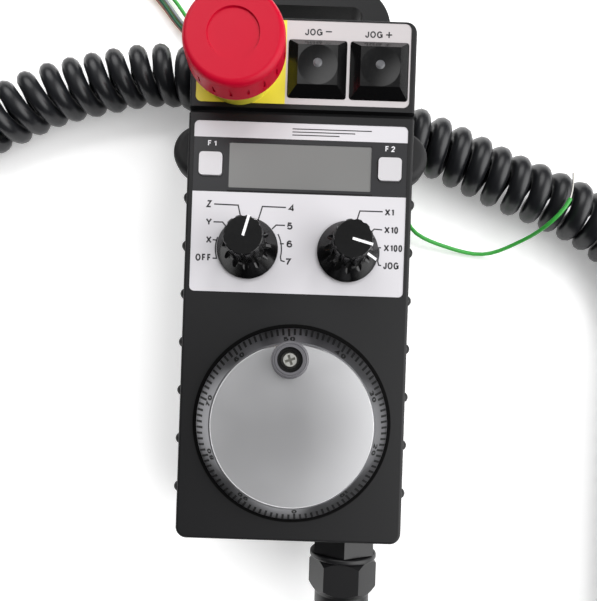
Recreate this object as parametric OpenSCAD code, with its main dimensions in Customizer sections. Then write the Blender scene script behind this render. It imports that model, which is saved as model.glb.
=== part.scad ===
// Pulse generator handwheel: a hand-held jog pendant for a machine tool, lying on its back.
// Millimetres. +Z out of the front face, +Y toward the stop button end, +X to the right.
// The origin is under the middle of the object, half way between loop and gland ends.

/* [Case] */
// Width of the case across its side walls
case_w = 92; // [91.5:0.5:94]
// Length of the case without the loop and the gland
case_l = 213.5; // [213:0.5:216]
// Height of the front face above the surface it lies on
face_z = 55; // [55:0.5:57]
// Length of the shallow head at the stop button end
head_l = 44.75; // [44:0.25:46]
// Height of the head's underside
head_under = 30; // [29:0.5:30]
// Height of the joint between the two shells
parting_z = 46; // [45.8:0.1:46.2]
// Wall thickness of the shells
wall_t = 2.5; // [2.4:0.05:2.6]
// Radius of the case corners seen from the front
corner_r = 4.5; // [4:0.5:6]
// Radius of the case edges
edge_r = 1.3; // [1:0.1:1.6]
// Width of the groove across the front
groove_w = 2.6; // [2:0.2:3]
// Depth of the groove across the front
groove_d = 3; // [2:0.25:3.5]

/* [Rating plate] */
// Width of the bare plate on the back
plate_w = 52; // [40:1:54]
// Length of the bare plate on the back
plate_l = 30; // [24:1:34]
// Depth of the pocket the plate lies in
plate_pocket = 0.8; // [0.7:0.1:1]

/* [Grip ribs] */
// Ribs on each side
rib_count = 7; // [4:1:7]
// Distance from the lowest rib to the gland end of the case
rib_low = 20.07; // [19:0.01:24]
// Width of a rib
rib_w = 4.7; // [4.2:0.1:4.8]
// Height of a rib's lower end
rib_z0 = 12; // [8:1:20]
// Height of a rib's upper end
rib_z1 = 51; // [49:0.5:52]

/* [Hanging loop] */
// How far the loop stands out from the head
loop_len = 21; // [20:0.5:24]
// Width of the loop
loop_w = 73; // [71:1:74]
// Thickness of the loop
loop_t = 12; // [10:0.5:12]
// Width of the slot in the loop
slot_w = 49; // [44:1:50]
// Length of the slot in the loop
slot_l = 11.85; // [11:0.25:12.5]

/* [Labels] */
// Distance from a printed foil to the side of the case
label_side = 2.5; // [2.5:0.25:4]
// Length of the lower foil
label_l = 69.5; // [68:0.5:70]
// Distance from the lower foil to the groove
label_gap = 3.1; // [3:0.1:4]
// Distance from the upper foil to the groove
top_label_gap = 1.9; // [1.8:0.1:2.5]
// Distance from the upper foil to the end of the case
top_label_end = 1.25; // [1.25:0.25:2]
// Depth of the pockets the foils lie in
label_pocket = 0.5; // [0.4:0.05:0.6]
// Thickness of a foil
label_t = 0.3; // [0.2:0.05:0.4]

/* [Display] */
// Distance from the display window to a function key
lcd_side = 2.75; // [2.6:0.05:4]
// Height of the display window
lcd_h = 18.35; // [17:0.25:19]

/* [Function keys] */
// Side of a function key
fkey_s = 9.4; // [8.6:0.2:9.6]
// Travel of a function key
fkey_travel = 0.5; // [0.3:0.1:0.5]
// Distance of each function key's middle from the side of the case
fkey_side = 9.55; // [9.45:0.05:9.7]

/* [Selector knobs] */
// Distance of each knob's axis from the side of the case
knob_side = 25.7; // [25:0.1:28]
// Diameter of a knob's skirt
knob_skirt_d = 24.8; // [23:0.2:26]
// Diameter of a knob's grip
knob_d = 15; // [14.6:0.1:15.4]
// Height of a knob above the face
knob_h = 21; // [19:0.5:22]
// Flutes round a knob's grip
knob_flutes = 12; // [10:1:14]
// Diameter of the switch shafts
shaft_d = 6; // [6:0.1:6.4]

/* [Handwheel] */
// Diameter of the black ring round the wheel
bezel_d = 80; // [79:0.5:81]
// Diameter of the graduated dial
dial_d = 76.4; // [75:0.2:77]
// Diameter of the disc on the wheel
disc_d = 62.4; // [60:0.2:63]
// Height of the disc above the face
disc_h = 15; // [14:0.5:16]
// Resting angle of the wheel, counter-clockwise
wheel_rest = 3.5; // [0:0.5:90]
// Distance of the spinner handle from the wheel's axis
spinner_r = 24.4; // [22:0.1:24.4]
// Diameter of the spinner handle at its top
spinner_d = 13.1; // [12:0.1:13.5]
// Height of the spinner handle above the face
spinner_h = 35; // [33:0.5:36]

/* [Stop button] */
// Distance of the stop button's axis from the side of the case
estop_side = 19.9; // [19.5:0.1:20.2]
// Diameter of the stop button's head
estop_d = 38.3; // [38:0.1:40]
// Height of the stop button above the face
estop_h = 23; // [22.5:0.5:24]
// Travel of the stop button
estop_travel = 5.5; // [4:0.5:5.5]
// Diameter of the stop button's collar
estop_collar_d = 29; // [28:0.5:31]

/* [Jog keys] */
// Distance from the stop button's collar to the first jog key
jog_from_collar = 5.5; // [5.5:0.1:6.5]
// Distance from the last jog key to the side of the case
jog_side = 3.5; // [3.5:0.1:4.5]
// Distance from one jog key to the other
jog_between = 1.8; // [1.6:0.1:2.4]
// Length of a jog key
jog_l = 23.4; // [22.4:0.2:23.4]
// Width of a jog key's sloping rim
jog_rim = 3.7; // [3:0.1:4.2]
// Height of a jog key above the foil
jog_h = 3.5; // [3:0.25:4]
// Travel of a jog key
jog_travel = 2.5; // [1.5:0.25:2.5]

/* [Enable buttons] */
// Length of an enable button
enable_l = 22.85; // [21:0.05:23]
// Height of an enable button
enable_h = 11; // [10:0.25:11]
// Rounding of an enable button's edge
enable_edge = 3.5; // [3:0.25:4]
// How far an enable button stands out of the side
enable_out = 8.8; // [7:0.2:9]
// Travel of an enable button
enable_travel = 2.5; // [1.5:0.25:2.5]

/* [Cable gland] */
// Distance of the gland from the middle line
gland_x = 25; // [22:0.5:25]
// Height of the gland's axis
gland_z = 33; // [32:0.5:33]
// Width across the flats of the gland's body
gland_af = 25.4; // [25:0.2:27]
// Width across the flats of the gland's nut
gland_nut_af = 25.8; // [24:0.2:26]
// How far the gland stands out of the case
gland_len = 33; // [31:0.5:35]
// Diameter of the cable
cable_d = 9; // [8:0.5:9.4]

/* [Hidden] */
$fn = 64;
fit = 0.08;       // radial gap of a running fit
gap = 0.3;        // gap round a moving key
case_top = (gland_len + case_l - loop_len) / 2;
case_bot = case_top - case_l;
case_mid = (case_top + case_bot) / 2;
step_y = case_top - head_l;
shelf_y = step_y - 15;
in_z = face_z - wall_t;
foil_z0 = face_z - label_pocket;
foil_z = foil_z0 + label_t;
in_x = case_w / 2 - wall_t;
groove_y = step_y + 6;
label_w = case_w - 2 * label_side;
label_y = groove_y - groove_w / 2 - label_gap - label_l / 2;
label_low = label_y - label_l / 2;
top_label_low = groove_y + groove_w / 2 + top_label_gap;
top_label_l = case_top - top_label_end - top_label_low;
top_label_y = top_label_low + top_label_l / 2;
lcd_y = step_y - 16.15;
fkey_x = case_w / 2 - fkey_side;
fkey_y = step_y - 16.05;
lcd_w = 2 * (fkey_x - fkey_s / 2 - lcd_side);
knob_x = case_w / 2 - knob_side;
knob_y = step_y - 50.2;
wheel_y = (case_bot + label_low) / 2 - 2.075;
rib_y = step_y - 28.2;
estop_x = estop_side - case_w / 2;
estop_y = top_label_y - 3.65;
jog_from = estop_x + estop_collar_d / 2 + jog_from_collar;
jog_w = (case_w / 2 - jog_side - jog_from - jog_between) / 2;
jog_x = [jog_from + jog_w / 2, case_w / 2 - jog_side - jog_w / 2];
jog_y = top_label_y - 2.55;
enable_y = step_y - 5.8;
enable_z = 38.8;
screw_x = case_w / 2 - 7;
screw_low_y = case_bot + 16.75;
screw_mid_y = step_y - 40;
screw_top_y = case_top - 5.75;
plate_y = case_bot + 58;
post_r = 4.2;
board_w = 2 * in_x - 20;
board_y0 = case_bot + 12.75;
board_y1 = shelf_y - 1;
board_z = 8;
board_t = 1.6;
disp_z = 47;
disp_w = 2 * in_x - 5;
disp_y0 = step_y - 30;
disp_y1 = step_y - 2;
loop_z = head_under + 3;
jog_board_z = head_under + 5;
jog_sw_top = jog_board_z + 12;
jog_lens_y = 1.1;
jog_sw_w = jog_w - 5.4;
jog_sw_l = jog_l - 5.4;
jog_stem = 2.95;

// Routes of the cords, points in millimetres.
lead_route = [[25, -133.75, 33], [25, -145, 33], [25, -157, 33], [26, -170, 31], [36, -193, 24],
    [60, -204, 16], [73, -205, 13.5], [79, -205, 13.5], [85, -205, 13.5]];
coil_route = [[85, -205, 13.5], [98, -205, 13.5], [111, -205, 13.5], [135, -203, 13.5],
    [160, -190, 13.5], [172, -165, 13.5], [172, -110, 13.5], [172, -55, 13.5], [172, -5, 13.5],
    [163, 28, 13.5], [145, 45, 13.5], [122, 56, 13.5], [99, 65, 13.5], [77, 75, 13.5],
    [55, 84, 13.5], [30, 91, 13.5], [0, 97, 13.5], [-30, 103, 13.5], [-60, 110, 13.5],
    [-78, 109.5, 13.5], [-95, 106, 13.5], [-118, 100, 13.5], [-134, 93, 13.5], [-152, 84, 13.5],
    [-170, 82, 13.5], [-184, 92, 13.5], [-188, 105, 13.5], [-188, 115, 13.5], [-188, 125, 13.5]];
tail_route = [[-188, 125, 13.5], [-188, 129, 13.5], [-188, 133, 13.5], [-185, 148, 9],
    [-177, 160, 6], [-162, 168, 5], [-146, 170, 5], [-130, 170, 5], [-115, 170, 5], [-100, 170, 5]];
bundle_route = [[-100, 168.5, 5], [-96, 168.5, 5], [-92, 168.5, 5], [-80, 162, 3.5],
    [-71, 153, 3.2], [-62, 142, 3.2], [-50, 131, 3.2], [-38, 124, 3.2]];
green_route = [[-100, 173, 5], [-96, 173, 5], [-92, 173, 5], [-78, 167, 4], [-66, 155, 3],
    [-57, 142, 7], [-45, 127, 20], [-35, 113, 28.5], [-10, 96, 28.5], [20, 82, 28.5],
    [38.5, 74, 22], [50, 67.8, 6], [53, 57, 2], [58, 42, 5], [75, 35, 3], [95, 32, 2.5],
    [110, 37, 12], [117, 42, 24], [123, 50, 28.5], [125, 57, 28.5], [125, 64, 28.5]];

// ---------- helpers ----------

module rrect(w, l, r) {
    square([w - 2 * r, l], center = true);
    square([w, l - 2 * r], center = true);
    for (x = [-1, 1], y = [-1, 1])
        translate([x * (w / 2 - r), y * (l / 2 - r)])
            circle(r);
}

module top_round(w, h, f) {
    translate([-w / 2, 0])
        square([w, h - f]);
    translate([-w / 2 + f, 0])
        square([w - 2 * f, h]);
    for (s = [-1, 1])
        translate([s * (w / 2 - f), h - f])
            circle(f);
}

// A slab standing on z = 0 with rounded corners and a rounded upper edge.
module soft_slab(w, l, r, f, h) {
    rotate([90, 0, 0])
        linear_extrude(l - 2 * r, center = true)
            top_round(w, h, f);
    rotate([90, 0, 90])
        linear_extrude(w - 2 * r, center = true)
            top_round(l, h, f);
    for (x = [-1, 1], y = [-1, 1])
        translate([x * (w / 2 - r), y * (l / 2 - r), 0])
            rotate_extrude() {
                square([r, h - f]);
                square([r - f, h]);
                translate([r - f, h - f])
                    circle(f);
            }
}

module pill(w, l, r, z0, z1) {
    translate([0, 0, z0])
        linear_extrude(z1 - z0)
            rrect(w, l, r);
}

module rod(r, z0, z1) {
    translate([0, 0, z0])
        cylinder(r = r, h = z1 - z0);
}

module hex(af, z0, z1) {
    translate([0, 0, z0])
        cylinder(r = af / sqrt(3), h = z1 - z0, $fn = 6);
}

module block(x0, x1, y0, y1, z0, z1) {
    translate([x0, y0, z0])
        cube([x1 - x0, y1 - y0, z1 - z0]);
}

module side_ribs(z0, z1, low_end, high_end) {
    rr = rib_w / 2;
    for (s = [-1, 1], k = [0 : rib_count - 1])
        translate([s * (case_w / 2 - 0.1), rib_y - k * (rib_y - case_bot - rib_low) / (rib_count - 1), 0]) {
            rod(rr, low_end ? z0 + rr : z0, high_end ? z1 - rr : z1);
            if (low_end)
                translate([0, 0, z0 + rr])
                    sphere(rr);
            if (high_end)
                translate([0, 0, z1 - rr])
                    sphere(rr);
        }
}

module shell_screw_places() {
    for (s = [-1, 1]) {
        translate([s * screw_x, screw_low_y, 0])
            children(0);
        translate([s * screw_x, screw_mid_y, 0])
            children(0);
        translate([s * screw_x, screw_top_y, head_under])
            children(1);
    }
}

module display_screw_places() {
    for (s = [-1, 1], y = [disp_y0 + 3.5, disp_y1 - 3.5])
        translate([s * (disp_w / 2 - 2.5), y, 0])
            children();
}

module board_screw_places() {
    for (s = [-1, 1], y = [board_y0 + 14, board_y1 - 7])
        translate([s * (board_w / 2 - 4.5), y, 0])
            children();
}

module encoder_screw_places() {
    for (a = [90, 210, 330])
        translate([34.5 * cos(a), wheel_y + 34.5 * sin(a), 0])
            children();
}

// ---------- case ----------

module front_shell() color("#232325") difference() {
    union() {
        difference() {
            translate([0, case_mid, parting_z])
                soft_slab(case_w, case_l, corner_r, edge_r, face_z - parting_z);
            translate([0, case_mid, 0])
                pill(case_w - 2 * wall_t, case_l - 2 * wall_t, 2, parting_z - 1, in_z);
        }
        block(-in_x - 1, in_x + 1, groove_y - 2.5, groove_y + 2.5, in_z - 4, in_z + 0.5);
        difference() {
            side_ribs(parting_z, rib_z1, false, true);
            block(-in_x, in_x, case_bot, case_top, 0, face_z);
        }
        shell_screw_places() {
            rod(post_r, parting_z, in_z + 0.5);
            rod(post_r, parting_z - head_under, in_z - head_under + 0.5);
        }
        display_screw_places()
            rod(2.6, disp_z + board_t, in_z + 0.5);
        encoder_screw_places()
            rod(3.6, in_z - 4.5, in_z + 0.5);
    }
    block(-case_w, case_w, groove_y - groove_w / 2, groove_y + groove_w / 2,
        face_z - groove_d, face_z + 1);
    translate([0, label_y, 0])
        pill(label_w, label_l, 2, foil_z0, face_z + 1);
    translate([0, top_label_y, 0])
        pill(label_w, top_label_l, 2.5, foil_z0, face_z + 1);
    translate([0, lcd_y, 0]) {
        pill(lcd_w + 2, lcd_h + 2, 0.5, in_z + 0.5, face_z);
        pill(lcd_w - 2, lcd_h - 2, 0.5, in_z - 1, face_z);
    }
    for (s = [-1, 1]) {
        translate([s * fkey_x, fkey_y, 0])
            pill(fkey_s + 2 * gap, fkey_s + 2 * gap, 1.8, in_z - 1, face_z);
        translate([s * knob_x, knob_y, 0])
            rod(4.65, in_z - 1, face_z);
    }
    for (x = jog_x)
        translate([x, jog_y, 0])
            pill(jog_w + 2 * gap, jog_l + 2 * gap, 1.3, jog_sw_top + 0.4, face_z);
    translate([estop_x, estop_y, 0]) {
        rod(11.15, in_z - 1, face_z);
        rod(13.3, in_z - 4.5, in_z);
    }
    translate([0, wheel_y, 0])
        rod(30.3, in_z - 1, face_z + 1);
    encoder_screw_places()
        rod(1.5, in_z - 4, face_z + 1);
    display_screw_places()
        rod(1.25, disp_z, in_z);
    shell_screw_places() {
        rod(1.5, parting_z - 1, in_z - 1);
        rod(1.5, parting_z - head_under - 1, in_z - head_under - 1);
    }
}

module back_shell() color("#232325") difference() {
    union() {
        difference() {
            union() {
                translate([0, (case_bot + step_y) / 2, parting_z])
                    mirror([0, 0, 1])
                        soft_slab(case_w, step_y - case_bot, corner_r, edge_r, parting_z);
                translate([0, (shelf_y + case_top) / 2, parting_z])
                    mirror([0, 0, 1])
                        soft_slab(case_w, case_top - shelf_y, corner_r, edge_r,
                            parting_z - head_under);
                side_ribs(rib_z0, parting_z, true, false);
            }
            translate([0, (case_bot + shelf_y) / 2, 0])
                pill(case_w - 2 * wall_t, shelf_y - case_bot - 2 * wall_t, 2,
                    wall_t, parting_z + 1);
            block(-in_x, in_x, shelf_y - 6, step_y - wall_t, wall_t, head_under);
            block(-in_x, in_x, shelf_y - 6, shelf_y, wall_t, parting_z + 1);
            block(-in_x, in_x, shelf_y - 6, shelf_y + 20, head_under + wall_t, parting_z + 1);
            translate([0, (shelf_y + case_top) / 2, 0])
                pill(case_w - 2 * wall_t, case_top - shelf_y - 2 * wall_t, 2,
                    head_under + wall_t, parting_z + 1);
        }
        shell_screw_places() {
            rod(post_r, 1, parting_z);
            rod(post_r, 1, parting_z - head_under);
        }
        board_screw_places()
            rod(3, 1, board_z);
        for (y = [jog_y - 9.8, jog_y + 6.2])
            block(jog_x[0] - jog_w / 2 + 2, jog_x[1] + jog_w / 2 - 0.5, y, y + 2,
                head_under + 1, jog_board_z);
    }
    shell_screw_places() {
        union() {
            rod(3.3, -1, 4);
            rod(1.7, 0, parting_z + 1);
        }
        union() {
            rod(3.3, -1, 3);
            rod(1.7, 0, parting_z - head_under + 1);
        }
    }
    board_screw_places()
        rod(1.25, board_z - 4.5, board_z + 1);
    for (s = [-1, 1]) {
        translate([s * case_w / 2, enable_y, enable_z])
            rotate([0, 90, 0])
                pill(enable_h + 2 * gap, enable_l + 2 * gap, enable_edge + gap, -4, 4);
        block(s * 30.5 - 3, s * 30.5 + 3, case_top - wall_t - 1, case_top + 1,
            loop_z + 3, loop_z + loop_t - 3);
    }
    translate([gland_x, case_bot, gland_z])
        rotate([90, 0, 0])
            rod(10.2, -wall_t - 1, 1);
    gasket_shape(parting_z - 1, parting_z + 1);
    translate([0, plate_y, 0])
        pill(plate_w, plate_l, 1.5, -1, plate_pocket);
}

module gasket_shape(z0, z1) {
    translate([0, case_mid, z0])
        linear_extrude(z1 - z0)
            difference() {
                rrect(case_w - 1.6, case_l - 1.6, corner_r - 0.8);
                rrect(case_w - 4, case_l - 4, corner_r - 2);
            }
}

module rating_plate() color("#a9abae")
    translate([0, plate_y, 0])
        pill(plate_w - 0.3, plate_l - 0.3, 1.35, 0.3, plate_pocket);

module shell_gasket() color("#101010") gasket_shape(parting_z - 1, parting_z);

module loop_outline(lr) {
    translate([-loop_w / 2, 0])
        square([loop_w, loop_len - lr]);
    translate([-loop_w / 2 + lr, 0])
        square([loop_w - 2 * lr, loop_len]);
    for (s = [-1, 1])
        translate([s * (loop_w / 2 - lr), loop_len - lr])
            circle(lr);
}

module hang_loop() color("#232325") {
    lr = 18;
    sr = 4.5;
    translate([0, case_top, loop_z])
        linear_extrude(loop_t)
            difference() {
                intersection() {
                    translate([-loop_w, 0])
                        square([2 * loop_w, loop_len + 1]);
                    loop_outline(lr);
                }
                translate([-slot_w / 2, -1])
                    square([slot_w, slot_l - sr + 1]);
                translate([-slot_w / 2 + sr, -1])
                    square([slot_w - 2 * sr, slot_l + 1]);
                for (s = [-1, 1])
                    translate([s * (slot_w / 2 - sr), slot_l - sr])
                        circle(sr);
            }
    for (s = [-1, 1])
        block(s * 30.5 - 3, s * 30.5 + 3, case_top - wall_t - 1.5, case_top,
            loop_z + 3, loop_z + loop_t - 3);
}

module shell_screws() color("#8d9094") {
    shell_screw_places() {
        difference() {
            union() {
                rod(2.9, 1.6, 4);
                rod(1.5, 3.9, in_z - 1);
            }
            translate([0, 0, 1.5])
                cylinder(r = 1.4, h = 1.4, $fn = 6);
        }
        difference() {
            union() {
                rod(2.9, 0.6, 3);
                rod(1.5, 2.9, in_z - head_under - 1);
            }
            translate([0, 0, 0.5])
                cylinder(r = 1.4, h = 1.4, $fn = 6);
        }
    }
}

// ---------- boards and display ----------

module main_board() color("#1d5b35") difference() {
    block(-board_w / 2, board_w / 2, board_y0, board_y1, board_z, board_z + board_t);
    board_screw_places()
        rod(1.25, board_z - 1, board_z + 5);
}

module one_board_screw() {
    difference() {
        union() {
            rod(2.3, 0, 1.6);
            rod(1.25, -board_t - 3.5, 0.1);
        }
        for (a = [0, 90])
            rotate([0, 0, a])
                block(-1.4, 1.4, -0.3, 0.3, 0.9, 2);
    }
}

module board_screws() color("#b9bcc0") {
    board_screw_places()
        translate([0, 0, board_z + board_t])
            one_board_screw();
    display_screw_places()
        translate([0, 0, disp_z])
            mirror([0, 0, 1])
                one_board_screw();
}

module terminal_block() color("#2f8f46") difference() {
    block(-8, 24, board_y0 + 1, board_y0 + 10, board_z + board_t, board_z + board_t + 10);
    for (k = [0 : 7]) {
        translate([-6 + 4 * k, board_y0 + 5.5, 0])
            rod(1.5, board_z + board_t + 7, board_z + board_t + 11);
        block(-7.4 + 4 * k, -4.6 + 4 * k, board_y0, board_y0 + 4,
            board_z + board_t + 1.5, board_z + board_t + 5);
    }
}

module display_board() color("#1d5b35") difference() {
    block(-disp_w / 2, disp_w / 2, disp_y0, disp_y1, disp_z, disp_z + board_t);
    display_screw_places()
        rod(1.25, disp_z - 1, disp_z + 3);
}

module lcd_module() color("#c9ccce")
    block(-lcd_w / 2 - 2, lcd_w / 2 + 2, lcd_y - lcd_h / 2 - 1.8, lcd_y + lcd_h / 2 + 1.8,
        disp_z + board_t, in_z);

module lcd_window() color("#868585")
    translate([0, lcd_y, 0])
        pill(lcd_w + 2, lcd_h + 2, 0.5, in_z + 0.5, foil_z0);

module lower_label() color("#e0dee2") difference() {
    translate([0, label_y, 0])
        pill(label_w, label_l, 2, foil_z0, foil_z);
    translate([0, lcd_y, 0])
        pill(lcd_w, lcd_h, 0.5, foil_z0 - 1, foil_z + 1);
    for (s = [-1, 1]) {
        translate([s * fkey_x, fkey_y, 0])
            pill(fkey_s + 2 * gap, fkey_s + 2 * gap, 1.8, foil_z0 - 1, foil_z + 1);
        translate([s * knob_x, knob_y, 0])
            rod(4.65, foil_z0 - 1, foil_z + 1);
    }
}

module upper_label() color("#e0dee2") difference() {
    translate([0, top_label_y, 0])
        pill(label_w, top_label_l, 2.5, foil_z0, foil_z);
    for (x = jog_x)
        translate([x, jog_y, 0])
            pill(jog_w + 2 * gap, jog_l + 2 * gap, 1.3, foil_z0 - 1, foil_z + 1);
    translate([estop_x, estop_y, 0])
        rod(11.15, foil_z0 - 1, foil_z + 1);
}

module fkey_switches() color("#18181a") {
    for (s = [-1, 1])
        translate([s * fkey_x, fkey_y, 0])
            difference() {
                block(-3.5, 3.5, -3.5, 3.5, disp_z + board_t, disp_z + board_t + 2.4);
                rod(1.67 + fit, disp_z + board_t + 0.2, disp_z + 10);
            }
}

module fkey() color("#ececec") translate([0, fkey_y, 0]) {
    pill(fkey_s, fkey_s, 1.5, disp_z + board_t + 2.4 + fkey_travel + gap, foil_z + 0.8);
    rod(1.67, disp_z + board_t + 0.3 + fkey_travel, disp_z + board_t + 5);
}

module f1_key() translate([-fkey_x, 0, 0]) fkey();

module f2_key() translate([fkey_x, 0, 0]) fkey();

// ---------- selector switches and knobs ----------

module rotary_switch() color("#2b2b2e") translate([0, knob_y, 0]) difference() {
    union() {
        rod(13, in_z - 18.5, in_z);
        rod(4.5, in_z - 1, foil_z + 4.2);
        for (a = [0 : 30 : 330])
            rotate([0, 0, a])
                block(10, 11.2, -0.4, 0.4, in_z - 22, in_z - 18);
    }
    rod(shaft_d / 2 + fit, in_z - 16, foil_z + 6);
}

module axis_switch() translate([-knob_x, 0, 0]) rotary_switch();

module rate_switch() translate([knob_x, 0, 0]) rotary_switch();

module switch_nuts() color("#b9bcc0") {
    for (s = [-1, 1])
        translate([s * knob_x, knob_y, 0])
            difference() {
                hex(12, foil_z, foil_z + 2.5);
                rod(4.5, foil_z - 1, foil_z + 4);
            }
}

knob_z0 = foil_z + 0.8;
knob_top = face_z + knob_h;

module knob_shaft() color("#b9bcc0") translate([0, knob_y, 0])
    rod(shaft_d / 2, in_z - 15.5, knob_top - 5);

module axis_shaft() translate([-knob_x, 0, 0]) knob_shaft();

module rate_shaft() translate([knob_x, 0, 0]) knob_shaft();

module pointer_solid() {
    rs = knob_skirt_d / 2;
    rk = knob_d / 2;
    rotate([90, 0, 90])
        linear_extrude(1, center = true)
            polygon([[1.2, knob_top - 0.4], [rk - 0.5, knob_top - 0.4], [rk - 0.5, knob_z0 + 6.3],
                [rk + 0.2, knob_z0 + 5.3], [rs - 1, knob_z0 + 1.4], [rs - 0.4, knob_z0 + 1.7],
                [rk + 0.4, knob_z0 + 6.4], [rk + 0.05, knob_z0 + 6.8], [rk + 0.05, knob_top + 0.05],
                [1.2, knob_top + 0.05]]);
}

module knob() difference() {
    rotate_extrude() {
        rs = knob_skirt_d / 2;
        rk = knob_d / 2;
        polygon([[0, knob_z0], [rs, knob_z0], [rs, knob_z0 + 0.9], [rk + 0.6, knob_z0 + 5.9],
            [rk, knob_z0 + 6.7], [rk, knob_top - 0.6], [rk - 0.6, knob_top - 0.6],
            [rk - 0.6, knob_top], [0, knob_top]]);
        translate([rk - 0.6, knob_top - 0.6])
            circle(0.6);
    }
    rod(8.2, knob_z0 - 1, foil_z + 4.9);
    rod(shaft_d / 2, foil_z, knob_top - 5);
    for (k = [0 : knob_flutes - 1])
        rotate([0, 0, (k + 0.5) * 360 / knob_flutes])
            translate([knob_d / 2 + 0.8, 0, knob_z0 + 6.5]) {
                rod(1.35, -0.9, knob_h);
                rotate([0, 120, 0])
                    cylinder(r = 1.5, h = 6);
            }
    pointer_solid();
}

module axis_knob() color("#17171a") translate([-knob_x, knob_y, 0]) rotate([0, 0, -15]) knob();

module axis_pointer() color("#f2f2f2") translate([-knob_x, knob_y, 0]) rotate([0, 0, -15])
    pointer_solid();

module rate_knob() color("#17171a") translate([knob_x, knob_y, 0]) rotate([0, 0, -105]) knob();

module rate_pointer() color("#f2f2f2") translate([knob_x, knob_y, 0]) rotate([0, 0, -105])
    pointer_solid();

// ---------- handwheel and encoder ----------

module encoder_case() color("#151517") translate([0, wheel_y, 0]) difference() {
    union() {
        rod(30, 24, face_z + 0.1);
        rod(bezel_d / 2, face_z, face_z + 1.4);
        rod(bezel_d / 2 - 0.6, face_z, face_z + 2);
    }
    rod(28, 23, face_z - 4);
    rod(shaft_d / 2 + fit, 20, face_z + 5);
    for (a = [90, 210, 330])
        translate([34.5 * cos(a), 34.5 * sin(a), face_z]) {
            rod(1.5, -1, 3);
            translate([0, 0, 0.5])
                cylinder(r1 = 1.5, r2 = 3.001, h = 1.501);
        }
}

module encoder_back() color("#1b4f8f") translate([0, wheel_y, 0]) {
    rod(30, 21.5, 24);
    difference() {
        block(-20, 20, -5, 4, 15.5, 21.6);
        for (k = [0 : 5])
            translate([-15 + 6 * k, -0.5, 0])
                rod(1.6, 14, 17.5);
    }
}

module encoder_screws() color("#8d9094") encoder_screw_places()
    difference() {
        union() {
            rod(1.5, in_z - 3.5, face_z + 0.6);
            translate([0, 0, face_z + 0.5])
                cylinder(r1 = 1.5, r2 = 3, h = 1.5);
        }
        for (a = [0, 90])
            rotate([0, 0, a])
                block(-1.6, 1.6, -0.3, 0.3, face_z + 1.2, face_z + 3);
    }

disc_top = face_z + disc_h;

module encoder_shaft() color("#b9bcc0") translate([0, wheel_y, 0])
    rod(shaft_d / 2, 30, disc_top - 2);

module code_disc() color("#8aa0a8") translate([0, wheel_y, 0]) difference() {
    rod(22, 34, 35);
    rod(shaft_d / 2, 33, 36);
}

module graduated_dial() color("#c4c6c8") translate([0, wheel_y, 0]) rotate([0, 0, wheel_rest])
    difference() {
        rotate_extrude() {
            rd = dial_d / 2;
            ri = disc_d / 2;
            polygon([[shaft_d / 2, face_z + 4.5], [8, face_z + 4.5], [8, disc_top - 5],
                [ri - 1.2, disc_top - 5], [rd - 1.4, face_z + 2.8], [rd, face_z + 2.8],
                [rd, face_z + 3.6], [ri + 0.8, disc_top - 2], [shaft_d / 2, disc_top - 2]]);
        }
        translate([0, spinner_r, 0])
            rod(2, disc_top - 6, disc_top);
    }

module wheel_disc() color("#d4d5d6") translate([0, wheel_y, 0]) rotate([0, 0, wheel_rest])
    difference() {
        union() {
            rod(disc_d / 2, disc_top - 2, disc_top - 0.4);
            translate([0, 0, disc_top - 0.4])
                cylinder(r1 = disc_d / 2, r2 = disc_d / 2 - 0.4, h = 0.4);
        }
        translate([0, spinner_r, 0])
            rod(2, disc_top - 6, disc_top + 1);
    }

spin_top = face_z + spinner_h;

module at_spinner() {
    translate([0, wheel_y, 0])
        rotate([0, 0, wheel_rest])
            translate([0, spinner_r, 0])
                children();
}

module spinner_screw() color("#d9d9d6") at_spinner() difference() {
    union() {
        rod(2, disc_top - 5, spin_top - 4);
        rod(3.1, spin_top - 4.2, spin_top - 2.1);
        translate([0, 0, spin_top - 2.1])
            cylinder(r1 = 3.1, r2 = 2.3, h = 0.7);
    }
    for (a = [20, 110])
        rotate([0, 0, a])
            block(-1.8, 1.8, -0.4, 0.4, spin_top - 2.6, spin_top);
}

module spinner_handle() color("#3a3b40") at_spinner() rotate_extrude() {
    rt = spinner_d / 2;
    z0 = disc_top + 0.6;
    difference() {
        union() {
            translate([2 + fit, z0])
                square([rt - 2 - fit, spin_top - z0 - 1]);
            translate([2 + fit, z0])
                square([rt - 3 - fit, spin_top - z0]);
            translate([rt - 1, spin_top - 1])
                circle(1);
        }
        translate([rt + 9.3, z0 + 7.5])
            circle(11);
        translate([0, spin_top - 4.3])
            square([4.4, 10]);
        translate([5.5, spin_top])
            circle(0.28);
    }
}

// ---------- stop button ----------

module estop_barrel() color("#1a1a1c") translate([estop_x, estop_y, 0]) difference() {
    union() {
        rod(11, 42, foil_z + 1);
        rod(estop_collar_d / 2, foil_z, foil_z + 4.7);
        translate([0, 0, foil_z + 4.7])
            cylinder(r1 = estop_collar_d / 2, r2 = estop_collar_d / 2 - 1, h = 1);
    }
    rod(7, 41, foil_z + 10);
    rod(11.3, foil_z + 1.4, foil_z + 10);
}

module estop_nut() color("#1a1a1c") translate([estop_x, estop_y, 0]) difference() {
    rod(13, in_z - 4.2, in_z);
    rod(11, in_z - 6, in_z + 1);
    for (a = [0 : 30 : 330])
        rotate([0, 0, a])
            block(12.2, 14, -1, 1, in_z - 5, in_z - 1.5);
}

module estop_contacts() color("#dcdcd8") translate([estop_x, estop_y, 0]) difference() {
    intersection() {
        block(-12, 12, -11, 11, head_under + wall_t + 0.8, 42);
        rod(14, head_under, 43);
    }
    rod(7.3, 37.5, 43);
    for (x = [-8.5, 8.5], y = [-8.5, 8.5])
        translate([x, y, 0])
            rod(1.5, 30, head_under + wall_t + 3);
}

estop_top = face_z + estop_h;
estop_neck = foil_z + 7.2;

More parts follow.
